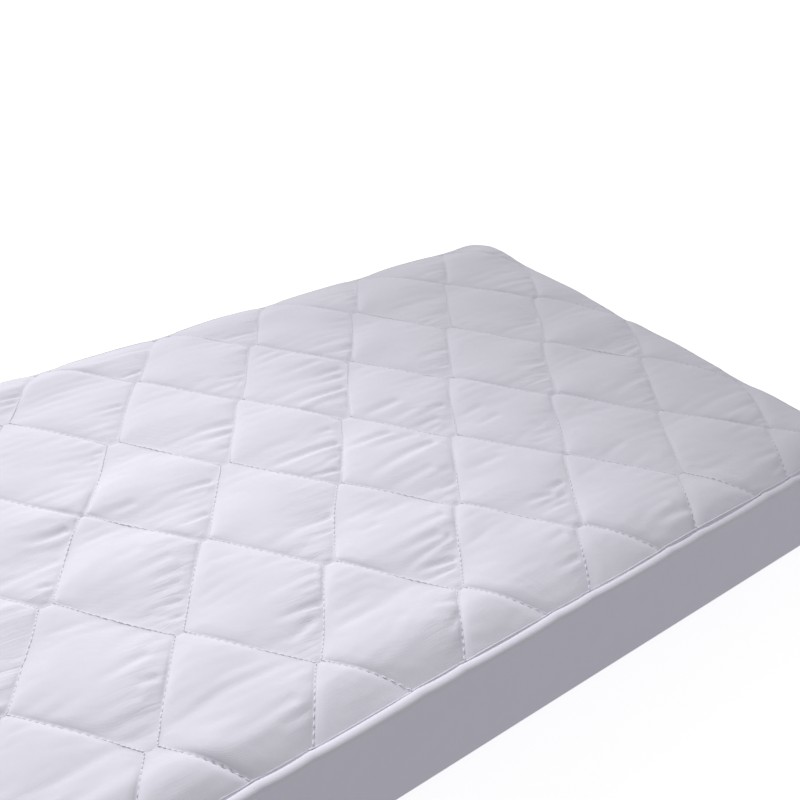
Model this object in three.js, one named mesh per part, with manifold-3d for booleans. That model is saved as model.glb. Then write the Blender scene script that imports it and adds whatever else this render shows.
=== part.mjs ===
// Crib mattress protector on its mattress: a quilted top panel, a rolled welt along its edge,
// and a plain side skirt that falls from the welt and turns under the mattress.
// Millimetres, +Z up, +X towards the head end, the origin on the floor under the middle.
import * as THREE from "three";
import { mergeVertices } from "three/addons/utils/BufferGeometryUtils.js";
import Module from "manifold-3d";

// Driving dimensions
const LENGTH = 1321; // over the welt, 52 in
const WIDTH = 711; // over the welt, 28 in
const CORNER_RADIUS = 45; // of the welt's outer edge, seen from above
const SEAM_LEVEL = 145; // height of the quilting stitches above the floor, away from the edges
const EDGE_FALL = 14; // how far the panel's edge is pulled down below them by the skirt
const EDGE_FALL_REACH = 50; // from the panel's edge in to where it lies level
const EDGE_FALL_POWER = 1.5; // how soft the bend is
const FALL_STEPS = 5; // facets across the bend
const WIDEST_SHARE = 1.25; // the bend runs on a little past the panel's edge, and no further
const GAP = 0.3; // between pieces that touch
const EDGE_CLEARANCE = 2; // between the hanging cloth and the mattress

// Quilting: stitch lines zigzag across the width, and the corners of neighbouring lines nearly meet
const DIAMOND_LENGTH = 168; // corner to corner along X
const DIAMOND_WIDTH = 207; // corner to corner along Y
const CROSSING_X = -101.9; // place of one meeting of corners
const CROSSING_Y = -67.6;
const CORNER_GAP = 10; // between the two corners that nearly meet
const CROWN = 8; // rise of the fullest puffs above their stitches
const SLACKEST = 0.16; // share by which the slackest puff is lower
const CROWN_POWER = 4; // how flat the crown is, and how steep the sides of the channels
const PUFF_STEPS = 6; // facets along each side of a diamond

// Cloth and filling
const SEAM_THICKNESS = 3.4; // of the quilted panel where it is stitched
const WELT_DIAMETER = 6;
const WELT_SIDES = 10;
const WELT_LEVEL = SEAM_LEVEL - EDGE_FALL - 1.5; // height of the welt's middle
const PANEL_INSET = WELT_DIAMETER + GAP; // of the panel's edge inside the welt's
const SCALLOP = 1.6; // how far the welt is drawn in where stitch lines reach it
const SKIRT_THICKNESS = 2;
const SKIRT_TURN_RADIUS = 10; // of the fold under the mattress, at the middle of the cloth
const TURN_STEPS = 4;
const TUCK = 58; // how far the hem reaches in under the mattress
const HEM_WIDTH = 13;
const HEM_THICKNESS = 3;
const HEM_CORNER_RADIUS = 4;

// Mattress
const MATTRESS_EDGE_RADIUS = 12;
const EDGE_STEPS = 2;
const MATTRESS_TOP = SEAM_LEVEL - SEAM_THICKNESS - GAP;
const MATTRESS_BASE = HEM_THICKNESS + GAP;

// The four sides of an outline, counter-clockwise: which way each faces and runs, and where a corner of a
// diamond lies along it
const CORNER_STEPS = 6;
const STATION_MARGIN = 66; // clear of points at each end of a straight side
const PROBE_INSET = 8; // where the quilt's rise is read for the scallops
const LONG = { reach: LENGTH / 2, across: WIDTH / 2, pitch: DIAMOND_LENGTH / 2 };
const SHORT = { reach: WIDTH / 2, across: LENGTH / 2, pitch: DIAMOND_WIDTH / 2 };
const SIDES = [
  { ...LONG, out: [0, -1], run: [1, 0], corner: CROSSING_X },
  { ...SHORT, out: [1, 0], run: [0, 1], corner: CROSSING_Y },
  { ...LONG, out: [0, 1], run: [-1, 0], corner: -CROSSING_X },
  { ...SHORT, out: [-1, 0], run: [0, -1], corner: -CROSSING_Y },
];

// The rolled edge of the quilted panel: how far in from its edge, and how high above the stitches there
const EDGE_ROLL = [
  { inset: 0, rise: -0.4 },
  { inset: 2.5, rise: 2.2 },
  { inset: 8, rise: 4.8 },
  { inset: 20, rise: 7.2 },
  { inset: 38, rise: CROWN + 1 },
  { inset: EDGE_FALL_REACH, rise: CROWN + 1 },
];

const CLOTH = { color: 0xe6e4ee, roughness: 0.92, metalness: 0 };
const WELT_CLOTH = { color: 0xebe9f2, roughness: 0.9, metalness: 0 };
const SKIRT_CLOTH = { color: 0xdddbe6, roughness: 0.88, metalness: 0 };
const TICKING = { color: 0xe9e7e2, roughness: 0.9, metalness: 0 };

const wasm = await Module();
wasm.setup();

// Share of the full crown that a diamond's puff reaches: its neighbours differ a little.
function fullness(cellP, cellQ) {
  const turn = 2.3 * cellP + 3.7 * cellQ;
  return 1 - (SLACKEST * (1 + Math.sin(turn))) / 2;
}

// Height of a puff above its stitches. f and g, from 0 to 1, are the place between its two pairs of
// stitch lines.
function puffRise(cellP, cellQ, f, g) {
  const between = (share) => 1 - Math.abs(2 * share - 1) ** CROWN_POWER;
  return CROWN * fullness(cellP, cellQ) * between(f) * between(g);
}

// Height of the quilt above its stitches at a point of the plan.
function riseAt(x, y) {
  const lengths = (x - CROSSING_X) / DIAMOND_LENGTH;
  const widths = (y - CROSSING_Y) / DIAMOND_WIDTH;
  const p = lengths - widths;
  const q = lengths + widths;
  const cellP = Math.floor(p);
  const cellQ = Math.floor(q);
  return puffRise(cellP, cellQ, p - cellP, q - cellQ);
}

// How far the panel is pulled down at a distance inwards from its edge.
function edgeFall(distance) {
  const share = THREE.MathUtils.clamp(1 - distance / EDGE_FALL_REACH, 0, WIDEST_SHARE);
  return EDGE_FALL * share ** EDGE_FALL_POWER;
}

// Distance inwards from the panel's rounded outline.
function edgeDistance(x, y) {
  const radius = CORNER_RADIUS - PANEL_INSET;
  const overX = Math.abs(x) - (LENGTH / 2 - PANEL_INSET - radius);
  const overY = Math.abs(y) - (WIDTH / 2 - PANEL_INSET - radius);
  const outside = Math.hypot(Math.max(overX, 0), Math.max(overY, 0));
  return radius - outside - Math.min(Math.max(overX, overY), 0);
}

// Rings across the bend, from where the panel lies level out to its edge.
function bend() {
  const rings = [];
  for (let i = 0; i <= FALL_STEPS; i++) {
    const distance = EDGE_FALL_REACH * (1 - i / FALL_STEPS);
    rings.push({ distance, fall: edgeFall(distance) });
  }
  return rings;
}

// A point of the quilt's upper face, its X moved so that each crossing opens into two corners.
function quiltPoint(cellP, cellQ, f, g) {
  const middleX = CROSSING_X + (DIAMOND_LENGTH * (cellP + cellQ + 1)) / 2;
  const y = CROSSING_Y + (DIAMOND_WIDTH * (cellQ + g - cellP - f)) / 2;
  const side = f + g - 1;
  const halfWidth = 1 - Math.abs(f - g);
  const isCrossing = f % 1 === 0 && g % 1 === 0;
  const opening = isCrossing ? 0 : CORNER_GAP * (side / halfWidth / 2 - side);
  const x = middleX + (side * DIAMOND_LENGTH) / 2 + opening;
  return [x, y, SEAM_LEVEL + puffRise(cellP, cellQ, f, g) - edgeFall(edgeDistance(x, y))];
}

// Facets are closer together near the stitches.
function easedStep(step) {
  return (1 - Math.cos((Math.PI * step) / PUFF_STEPS)) / 2;
}

// Points round the panel's outline, inset from the welt's outer edge, counter-clockwise.
// wave draws the straight sides in by up to SCALLOP where the quilt is low.
function outline(inset, wave = 0) {
  const radius = Math.max(CORNER_RADIUS - inset, HEM_CORNER_RADIUS);
  const points = [];
  for (const { out, run, reach, across, pitch, corner } of SIDES) {
    const place = (along, away) => [run[0] * along + out[0] * away, run[1] * along + out[1] * away];
    const last = reach - STATION_MARGIN;
    const first = corner + pitch * Math.ceil((-last - corner) / pitch);
    for (let along = first; along <= last; along += pitch) {
      const rise = riseAt(...place(along, across - PROBE_INSET));
      points.push(place(along, across - inset - wave * SCALLOP * (1 - rise / CROWN)));
    }
    for (let i = 0; i <= CORNER_STEPS; i++) {
      const turn = (Math.PI / 2) * (i / CORNER_STEPS);
      const along = reach - inset - radius * (1 - Math.sin(turn));
      points.push(place(along, across - inset - radius * (1 - Math.cos(turn))));
    }
  }
  return points;
}

// Triangles between two loops of the same length, given by their first indices.
function band(lower, upper, count) {
  const faces = [];
  for (let i = 0; i < count; i++) {
    const next = (i + 1) % count;
    faces.push(lower + i, lower + next, upper + next);
    faces.push(lower + i, upper + next, upper + i);
  }
  return faces;
}

function geometryOf(points, faces) {
  const made = new THREE.BufferGeometry();
  made.setAttribute("position", new THREE.Float32BufferAttribute(points, 3));
  made.setIndex(faces);
  return made;
}

// A closed solid through horizontal loops, lowest first, each flat end fanned from its middle.
function loft(levels) {
  const points = [];
  const faces = [];
  for (const { inset, z, wave } of levels)
    outline(inset, wave).forEach(([x, y]) => points.push(x, y, z));
  const count = points.length / 3 / levels.length;
  for (let level = 0; level + 1 < levels.length; level++)
    faces.push(...band(level * count, (level + 1) * count, count));
  const bottomMiddle = levels.length * count;
  const topMiddle = bottomMiddle + 1;
  const top = (levels.length - 1) * count;
  points.push(0, 0, levels[0].z, 0, 0, levels[levels.length - 1].z);
  for (let i = 0; i < count; i++) {
    const next = (i + 1) % count;
    faces.push(bottomMiddle, next, i);
    faces.push(topMiddle, top + i, top + next);
  }
  return geometryOf(points, faces);
}

// A closed hoop: a section of inset and height, carried round the outline and joined to itself.
// The section goes up its outer side.
function hoop(section, wave = 0) {
  const points = [];
  const faces = [];
  for (const { inset, z } of section)
    outline(inset, wave).forEach(([x, y]) => points.push(x, y, z));
  const count = points.length / 3 / section.length;
  for (let level = 0; level < section.length; level++)
    faces.push(...band(level * count, ((level + 1) % section.length) * count, count));
  return geometryOf(points, faces);
}

function manifoldOf(geometry) {
  const merged = mergeVertices(geometry, 1e-3);
  return new wasm.Manifold(
    new wasm.Mesh({
      numProp: 3,
      vertProperties: new Float32Array(merged.getAttribute("position").array),
      triVerts: new Uint32Array(merged.index.array),
    }),
  );
}

function geometryFrom(solid) {
  const mesh = solid.getMesh();
  return geometryOf(Array.from(mesh.vertProperties), Array.from(mesh.triVerts));
}

// The puffs of the lattice as one thick slab, larger than the panel.
function puffSlab() {
  const reach = Math.ceil((LENGTH / DIAMOND_LENGTH + WIDTH / DIAMOND_WIDTH) / 2) + 1;
  const cells = 2 * reach;
  const side = cells * PUFF_STEPS + 1;
  const cellOf = (index) => Math.min(Math.floor(index / PUFF_STEPS), cells - 1);
  const points = [];
  for (const isUpper of [true, false])
    for (let i = 0; i < side; i++)
      for (let j = 0; j < side; j++) {
        const p = cellOf(i);
        const q = cellOf(j);
        const f = easedStep(i - p * PUFF_STEPS);
        const g = easedStep(j - q * PUFF_STEPS);
        const [x, y, z] = quiltPoint(p - reach, q - reach, f, g);
        points.push(x, y, isUpper ? z : SEAM_LEVEL - SEAM_THICKNESS - CROWN - EDGE_FALL);
      }
  const below = side * side;
  const last = side - 1;
  const at = (i, j) => i * side + j;
  const faces = [];
  for (let i = 0; i < last; i++)
    for (let j = 0; j < last; j++) {
      const [a, b, c, d] = [at(i, j), at(i + 1, j), at(i + 1, j + 1), at(i, j + 1)];
      faces.push(a, b, c, a, c, d);
      faces.push(below + a, below + c, below + b, below + a, below + d, below + c);
    }
  const wall = (a, b) => faces.push(a, b, below + b, a, below + b, below + a);
  for (let k = 0; k < last; k++) {
    wall(at(k + 1, 0), at(k, 0));
    wall(at(k, last), at(k + 1, last));
    wall(at(0, k), at(0, k + 1));
    wall(at(last, k + 1), at(last, k));
  }
  return geometryOf(points, faces);
}

// The quilted panel: puffs inside the welt, the edge rolled and pulled down to it all round, and an
// underside that lies on the mattress.
function quiltedTop() {
  const underside = SEAM_LEVEL - SEAM_THICKNESS;
  const levels = [];
  for (const { distance, fall } of bend())
    levels.push({ inset: PANEL_INSET + distance, z: underside - fall, wave: distance === 0 ? 1 : 0 });
  for (const { inset, rise } of EDGE_ROLL)
    levels.push({ inset: PANEL_INSET + inset, z: SEAM_LEVEL + rise - edgeFall(inset), wave: 1 });
  return geometryFrom(manifoldOf(puffSlab()).intersect(manifoldOf(loft(levels))));
}

// The welt: a round roll of cloth in the seam between the panel and the skirt.
function edgeWelt() {
  const radius = WELT_DIAMETER / 2;
  const section = [];
  for (let i = 0; i < WELT_SIDES; i++) {
    const turn = (2 * Math.PI * i) / WELT_SIDES;
    section.push({
      inset: radius - radius * Math.cos(turn),
      z: WELT_LEVEL + radius * Math.sin(turn),
    });
  }
  return hoop(section, 1);
}

// The skirt: one sheet down the side, round under the mattress and in to its thicker hem.
function sideSkirt() {
  const half = SKIRT_THICKNESS / 2;
  const middle = WELT_DIAMETER / 2;
  const foldInset = middle + SKIRT_TURN_RADIUS;
  const foldHeight = half + SKIRT_TURN_RADIUS;
  const weltUnderside = WELT_LEVEL - (WELT_DIAMETER / 2) * Math.cos(Math.PI / WELT_SIDES);
  const top = weltUnderside - GAP;
  const face = (offset) => {
    const points = [{ inset: middle + offset, z: top }];
    for (let i = 0; i <= TURN_STEPS; i++) {
      const turn = (Math.PI / 2) * (i / TURN_STEPS);
      const radius = SKIRT_TURN_RADIUS - offset;
      points.push({
        inset: foldInset - radius * Math.cos(turn),
        z: foldHeight - radius * Math.sin(turn),
      });
    }
    return points;
  };
  const hem = [
    { inset: TUCK, z: 0 },
    { inset: TUCK, z: HEM_THICKNESS },
    { inset: TUCK - HEM_WIDTH, z: HEM_THICKNESS },
    { inset: TUCK - HEM_WIDTH - half, z: SKIRT_THICKNESS },
  ];
  const section = [...face(-half), ...hem, ...face(half).reverse()].reverse();
  return hoop(section);
}

// The mattress: a plain block with rounded corners and softened edges, standing on the hem. Its top bends
// down under the panel's edge.
function mattress() {
  const side = WELT_DIAMETER / 2 + SKIRT_THICKNESS / 2 + EDGE_CLEARANCE;
  const levels = [];
  for (let i = 0; i <= EDGE_STEPS; i++) {
    const turn = (Math.PI / 2) * (i / EDGE_STEPS);
    levels.push({
      inset: side + MATTRESS_EDGE_RADIUS * (1 - Math.sin(turn)),
      z: MATTRESS_BASE + MATTRESS_EDGE_RADIUS * (1 - Math.cos(turn)),
    });
  }
  for (let i = 0; i <= EDGE_STEPS; i++) {
    const turn = (Math.PI / 2) * (i / EDGE_STEPS);
    const inset = side + MATTRESS_EDGE_RADIUS * (1 - Math.cos(turn));
    const level = MATTRESS_TOP - edgeFall(inset - PANEL_INSET);
    levels.push({ inset, z: level - MATTRESS_EDGE_RADIUS * (1 - Math.sin(turn)) });
  }
  const softened = levels[levels.length - 1].inset;
  for (const { distance, fall } of bend().reverse())
    if (PANEL_INSET + distance > softened)
      levels.push({ inset: PANEL_INSET + distance, z: MATTRESS_TOP - fall });
  return loft(levels);
}

function piece(name, geometry, look) {
  const mesh = new THREE.Mesh(geometry, new THREE.MeshStandardMaterial(look));
  mesh.name = name;
  return mesh;
}

const protector = new THREE.Group();
protector.add(piece("quilted_top", quiltedTop(), CLOTH));
protector.add(piece("edge_welt", edgeWelt(), WELT_CLOTH));
protector.add(piece("side_skirt", sideSkirt(), SKIRT_CLOTH));
const bed = new THREE.Group();
bed.add(piece("mattress", mattress(), TICKING));
const part = new THREE.Group();
part.add(protector, bed);

export default part;
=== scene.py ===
import math

import bmesh
import bpy
import numpy as np
from mathutils import Matrix, Vector
from mathutils.bvhtree import BVHTree


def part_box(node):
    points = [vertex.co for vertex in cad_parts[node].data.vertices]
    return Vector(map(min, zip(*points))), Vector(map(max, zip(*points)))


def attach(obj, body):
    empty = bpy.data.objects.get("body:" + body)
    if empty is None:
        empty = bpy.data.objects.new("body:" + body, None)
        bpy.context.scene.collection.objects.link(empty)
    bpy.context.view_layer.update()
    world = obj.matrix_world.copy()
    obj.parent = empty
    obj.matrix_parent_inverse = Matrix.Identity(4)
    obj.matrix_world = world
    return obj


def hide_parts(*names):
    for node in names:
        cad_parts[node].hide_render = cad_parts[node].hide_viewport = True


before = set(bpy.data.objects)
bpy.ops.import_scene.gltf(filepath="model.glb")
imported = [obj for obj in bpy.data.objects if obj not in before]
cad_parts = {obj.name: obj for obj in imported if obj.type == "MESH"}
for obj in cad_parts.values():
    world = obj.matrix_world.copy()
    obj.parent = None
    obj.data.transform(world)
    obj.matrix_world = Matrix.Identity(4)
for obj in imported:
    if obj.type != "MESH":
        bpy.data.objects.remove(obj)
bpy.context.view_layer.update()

MM = 0.001
chance = np.random.default_rng(11)

# Sizes that the frame gives
panel_low, panel_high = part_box("quilted_top")
_, welt_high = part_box("edge_welt")
block_low, block_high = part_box("mattress")

# Quilting: stitch lines zigzag across the width, and the corners of neighbouring lines nearly meet
DIAMOND_LENGTH = 168 * MM
DIAMOND_WIDTH = 207 * MM
CROSSING_X = -101.9 * MM
CROSSING_Y = -67.6 * MM
CORNER_GAP = 10 * MM
GAP_SPREAD = 0.45
GAP_TURNS = (1.7, 2.9)
SEAM_THICKNESS = 3.4 * MM

# The panel's edge is pulled down by the skirt
EDGE_FALL = 14 * MM
EDGE_FALL_REACH = 50 * MM
EDGE_FALL_POWER = 1.5
SEAM_LEVEL = panel_low.z + SEAM_THICKNESS + EDGE_FALL
EDGE_LEVEL = SEAM_LEVEL - EDGE_FALL

# Outline, seen from above
CORNER_RADIUS = 45 * MM
HALF_LENGTH = welt_high.x
HALF_WIDTH = welt_high.y
PANEL_INSET = HALF_LENGTH - panel_high.x
MATTRESS_INSET = HALF_LENGTH - block_high.x
SCALLOP = 1.8 * MM
OVERHANG = 2.2 * MM


WAVE_PITCHES = (0.75, 1.4)
WAVE_GAIN = 1.4


def slow_waves(wavelength, count=5):
    """A function of the plan, the sum of a few slow waves, about -1 to 1. Each call draws new ones."""
    waves = []
    for _ in range(count):
        heading = chance.uniform(0, 2 * math.pi)
        phase = chance.uniform(0, 2 * math.pi)
        pitch = wavelength * chance.uniform(*WAVE_PITCHES)
        waves.append((math.cos(heading), math.sin(heading), phase, pitch))

    def height(x, y):
        total = 0
        for along_x, along_y, phase, pitch in waves:
            total = total + np.sin(2 * math.pi * (x * along_x + y * along_y) / pitch + phase)
        return total / count * WAVE_GAIN

    return height


# Lattice of the quilting. p and q count the stitch lines: whole numbers are the lines themselves.
def gap_at(p, q):
    """Distance between the two corners at a crossing, different from one crossing to the next."""
    cell_p = np.floor(p)
    cell_q = np.floor(q)
    total = 0
    for a in (0, 1):
        for b in (0, 1):
            weight = np.abs(1 - a - (p - cell_p)) * np.abs(1 - b - (q - cell_q))
            turn = GAP_TURNS[0] * (cell_p + a) + GAP_TURNS[1] * (cell_q + b)
            total = total + weight * (1 + GAP_SPREAD * np.sin(turn))
    return CORNER_GAP * total


# The stitch lines wander a little from their straight course
FAR_WANDER = 1.6 * MM
FAR_PITCH = 0.42
NEAR_WANDER = 0.7 * MM
NEAR_PITCH = 0.10
wander_far_x = slow_waves(FAR_PITCH)
wander_far_y = slow_waves(FAR_PITCH)
wander_near_x = slow_waves(NEAR_PITCH)
wander_near_y = slow_waves(NEAR_PITCH)


def lattice_to_plan(p, q):
    """Place in the plan. Each line opens a little towards a crossing, so that its corner stays apart."""
    f = p - np.floor(p)
    g = q - np.floor(q)
    side = f + g - 1
    half_width = 1 - np.abs(f - g)
    is_crossing = (half_width < 1e-9) | ((f == 0) & (g == 0))
    share = side / np.where(is_crossing, 1, half_width)
    opening = np.where(is_crossing, 0, gap_at(p, q) * (share / 2 - side))
    x = CROSSING_X + DIAMOND_LENGTH * (p + q) / 2 + opening
    y = CROSSING_Y + DIAMOND_WIDTH * (q - p) / 2
    wander_x = FAR_WANDER * wander_far_x(x, y) + NEAR_WANDER * wander_near_x(x, y)
    wander_y = FAR_WANDER * wander_far_y(x, y) + NEAR_WANDER * wander_near_y(x, y)
    return x + wander_x, y + wander_y


def plan_to_lattice(x, y):
    """The other way round, without the openings and the wander."""
    lengths = (x - CROSSING_X) / DIAMOND_LENGTH
    widths = (y - CROSSING_Y) / DIAMOND_WIDTH
    return lengths - widths, lengths + widths


# Distance between the two pairs of stitch lines of a diamond
CELL_WIDTH = DIAMOND_LENGTH * DIAMOND_WIDTH / math.hypot(DIAMOND_LENGTH, DIAMOND_WIDTH)

# Lines of each kind on either side of the origin that cover the whole panel
LATTICE_REACH = math.ceil(HALF_LENGTH / DIAMOND_LENGTH + HALF_WIDTH / DIAMOND_WIDTH) + 1

# Shape of a puff
PUFF_REACH = 11 * MM
PUFF_DOME = 0.22
CORNER_FILL = 2.2


def swell_across(share):
    """Rise from one stitch line to the next: fast beside the stitches, then a low dome."""
    from_line = CELL_WIDTH * np.minimum(share, 1 - share)
    return (1 - PUFF_DOME) * (1 - np.exp(-from_line / PUFF_REACH)) + PUFF_DOME * 4 * share * (1 - share)


def puff_share(p, q):
    """Height of a puff as a share of its crown: 0 on the stitches, 1 in the middle, full to the corners."""
    across_p = swell_across(p - np.floor(p))
    across_q = swell_across(q - np.floor(q))
    both = np.maximum(across_p, 1e-6) ** -CORNER_FILL + np.maximum(across_q, 1e-6) ** -CORNER_FILL
    return (both / 2) ** (-1 / CORNER_FILL)


# Mesh helpers
def new_object(name, mesh):
    made = bpy.data.objects.new(name, mesh)
    bpy.context.scene.collection.objects.link(made)
    return made


def mesh_object(name, points, faces):
    mesh = bpy.data.meshes.new(name)
    mesh.from_pydata(np.asarray(points).tolist(), [], [list(map(int, f)) for f in faces])
    mesh.update()
    mesh.shade_smooth()
    return new_object(name, mesh)


def positions(mesh):
    found = np.empty(len(mesh.vertices) * 3, np.float32)
    mesh.vertices.foreach_get("co", found)
    return found.reshape(-1, 3).astype(float)


def set_positions(mesh, points):
    mesh.vertices.foreach_set("co", np.asarray(points, np.float32).ravel())
    mesh.update()


# Stations round the outline, the same for every inset
STRAIGHT_STATIONS_LONG = 190
STRAIGHT_STATIONS_SHORT = 96
CORNER_STATIONS = 20
TIGHTEST_CORNER = 4 * MM


def outline(inset):
    """Place and facing of each station, counter-clockwise, at an inset from the welt's outer edge."""
    radius = max(CORNER_RADIUS - inset, TIGHTEST_CORNER)
    reach_x = HALF_LENGTH - inset - radius
    reach_y = HALF_WIDTH - inset - radius
    places = []
    facings = []
    corners = [(reach_x, -reach_y), (reach_x, reach_y), (-reach_x, reach_y), (-reach_x, -reach_y)]
    counts = [STRAIGHT_STATIONS_SHORT, STRAIGHT_STATIONS_LONG] * 2
    for turn, (corner, count) in enumerate(zip(corners, counts)):
        start = (turn - 1) * math.pi / 2
        for i in range(CORNER_STATIONS):
            angle = start + math.pi / 2 * i / CORNER_STATIONS
            facing = (math.cos(angle), math.sin(angle))
            places.append((corner[0] + radius * facing[0], corner[1] + radius * facing[1]))
            facings.append(facing)
        facing = np.array([math.cos(start + math.pi / 2), math.sin(start + math.pi / 2)])
        begin = np.array(corner) + radius * facing
        end = np.array(corners[(turn + 1) % 4]) + radius * facing
        for i in range(count):
            places.append(begin + (end - begin) * i / count)
            facings.append(facing)
    return np.array(places, float), np.array(facings, float)


PROBE_INSET = 8 * MM


def scallop_at(places):
    """How far the edge is drawn in at each station, 0 beside the middle of a puff."""
    x = places[:, 0] * (1 - PROBE_INSET / HALF_LENGTH)
    y = places[:, 1] * (1 - PROBE_INSET / HALF_WIDTH)
    return SCALLOP * (1 - puff_share(*plan_to_lattice(x, y)))


SLIP_POWER = 3
SLIP_START = 0.75


def slipped(x, y):
    """How far the edge has slipped over the side: 0 at the near side, 1 at the far side and the head."""
    across = np.clip(0.5 + y / (2 * HALF_WIDTH), 0, 1)
    along = np.clip((x / HALF_LENGTH - SLIP_START) / (1 - SLIP_START), 0, 1)
    return np.clip(np.maximum(across**SLIP_POWER, along), 0, 1)


def edge_distance(x, y):
    """Distance inwards from the panel's outline."""
    radius = CORNER_RADIUS - PANEL_INSET
    over_x = np.abs(x) - (panel_high.x - radius)
    over_y = np.abs(y) - (panel_high.y - radius)
    outside = np.hypot(np.maximum(over_x, 0), np.maximum(over_y, 0))
    return radius - outside - np.minimum(np.maximum(over_x, over_y), 0)


def edge_facing(x, y):
    """Direction out of the panel at its nearest edge, radial at the corners and none in the middle."""
    radius = CORNER_RADIUS - PANEL_INSET
    over_x = np.maximum(np.abs(x) - (panel_high.x - radius), 0)
    over_y = np.maximum(np.abs(y) - (panel_high.y - radius), 0)
    length = np.maximum(np.hypot(over_x, over_y), 1e-9)
    return np.sign(x) * over_x / length, np.sign(y) * over_y / length


def edge_fall(distance):
    share = np.clip(1 - distance / EDGE_FALL_REACH, 0, 1)
    return EDGE_FALL * share**EDGE_FALL_POWER


# The quilted cover. The grid has two points to each stitch, so that a stitch pulls every second one down.
STITCHES = 21
STEPS = 2 * STITCHES
SHORTER = 0.35
TRIM_MARGIN = 8 * MM
RIM_MERGE = 0.7 * MM
ON_LINE = 1e-5


def eased(share):
    """Spaces the stitches closer near the crossings than half-way between them."""
    return share - SHORTER * np.sin(2 * math.pi * share) / (2 * math.pi)


def flat_lattice():
    """Plan points, lattice numbers, beat of the stitches and faces of the grid, larger than the panel."""
    count = 2 * LATTICE_REACH * STEPS
    line = np.arange(count + 1)
    number = line // STEPS - LATTICE_REACH + eased((line % STEPS) / STEPS)
    p, q = np.meshgrid(number, number, indexing="ij")
    x, y = lattice_to_plan(p, q)
    line_p, line_q = np.meshgrid(line, line, indexing="ij")
    nearer_p = np.abs(p - np.round(p)) < np.abs(q - np.round(q))
    beat = np.where(np.where(nearer_p, line_q, line_p) % 2 == 0, 1.0, -1.0)
    inside = (np.abs(x) < panel_high.x + TRIM_MARGIN) & (np.abs(y) < panel_high.y + TRIM_MARGIN)
    quad = inside[:-1, :-1] & inside[1:, :-1] & inside[1:, 1:] & inside[:-1, 1:]
    used = np.zeros_like(inside)
    for a in (0, 1):
        for b in (0, 1):
            used[a : count + a, b : count + b] |= quad
    index = np.full(inside.shape, -1)
    index[used] = np.arange(used.sum())
    corners = [index[:-1, :-1], index[1:, :-1], index[1:, 1:], index[:-1, 1:]]
    faces = np.stack([c[quad] for c in corners], 1)
    return x[used], y[used], p[used], q[used], beat[used], faces


CORNER_CUTS = 9


def cutting_lines(half_x, half_y, radius):
    """Points and outward directions of the straight cuts that trim cloth to the rounded outline."""
    cuts = [((half_x, 0), (1, 0)), ((-half_x, 0), (-1, 0)), ((0, half_y), (0, 1)), ((0, -half_y), (0, -1))]
    for sign_x in (-1, 1):
        for sign_y in (-1, 1):
            for i in range(CORNER_CUTS):
                angle = math.pi / 2 * (i + 0.5) / CORNER_CUTS
                facing = (sign_x * math.cos(angle), sign_y * math.sin(angle))
                middle = (sign_x * (half_x - radius), sign_y * (half_y - radius))
                place = (middle[0] + radius * facing[0], middle[1] + radius * facing[1])
                cuts.append((place, facing))
    return cuts


def flat_cover():
    """The cover's upper cloth, flat, trimmed to its outline, with its lattice numbers on its points."""
    x, y, p, q, beat, faces = flat_lattice()
    made = mesh_object("quilted_cover", np.stack([x, y, np.zeros_like(x)], 1), faces)
    for name, values in (("p", p), ("q", q), ("beat", beat)):
        layer = made.data.attributes.new(name, "FLOAT", "POINT")
        layer.data.foreach_set("value", values.astype(np.float32))
    shape = bmesh.new()
    shape.from_mesh(made.data)
    for place, facing in cutting_lines(panel_high.x, panel_high.y, CORNER_RADIUS - PANEL_INSET):
        geometry = shape.verts[:] + shape.edges[:] + shape.faces[:]
        bmesh.ops.bisect_plane(
            shape,
            geom=geometry,
            dist=1e-6,
            plane_co=(place[0], place[1], 0),
            plane_no=(facing[0], facing[1], 0),
            clear_outer=True,
        )
    near_rim = []
    for v in shape.verts:
        if v.is_boundary or any(edge.other_vert(v).is_boundary for edge in v.link_edges):
            near_rim.append(v)
    bmesh.ops.remove_doubles(shape, verts=near_rim, dist=RIM_MERGE)
    shape.to_mesh(made.data)
    shape.free()
    return made


def numbers(mesh, name):
    found = np.empty(len(mesh.vertices), np.float32)
    mesh.attributes[name].data.foreach_get("value", found)
    return found.astype(float)


def rim_vertices(mesh):
    """True for each vertex on an edge that only one face uses."""
    uses = np.zeros(len(mesh.edges), int)
    of_loop = np.empty(len(mesh.loops), int)
    mesh.loops.foreach_get("edge_index", of_loop)
    np.add.at(uses, of_loop, 1)
    ends = np.empty(len(mesh.edges) * 2, int)
    mesh.edges.foreach_get("vertices", ends)
    is_rim = np.zeros(len(mesh.vertices), bool)
    is_rim[ends.reshape(-1, 2)[uses == 1].ravel()] = True
    return is_rim


# Filling: how the puffs swell
CROWN = 3.5 * MM
SLACKEST = 0.2
FULLNESS_TURNS = (2.3, 3.7)
GROOVE_DEPTH = 0.3 * MM
GROOVE_WIDTH = 1.2 * MM
STITCH_PULL = 0.5 * MM
PUCKER_REACH = 3.2 * MM
EDGE_ROLL = 9 * MM
TIGHT_ROLL = 3 * MM
EDGE_BULGE = 2.6 * MM
EDGE_BULGE_REACH = 16 * MM
SMALL_LUMPS = 0.7 * MM
LUMP_PITCH = 0.075
HOLLOWS = 3.4 * MM
HOLLOW_PITCH = 0.10
HOLLOW_STRETCH = 2.2


def fullness(p, q):
    """Share of the crown that each puff reaches: its neighbours differ a little."""
    turn = FULLNESS_TURNS[0] * np.floor(p) + FULLNESS_TURNS[1] * np.floor(q)
    return 1 - SLACKEST * (1 + np.sin(turn)) / 2


def stitch_pull(p, q):
    """How far a needle hole pulls the cloth down: less near the crossings, where stitches are shorter."""
    nearer_p = np.abs(p - np.round(p)) < np.abs(q - np.round(q))
    along = np.where(nearer_p, q, p)
    return STITCH_PULL * (1 - SHORTER * np.cos(2 * math.pi * along))


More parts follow.
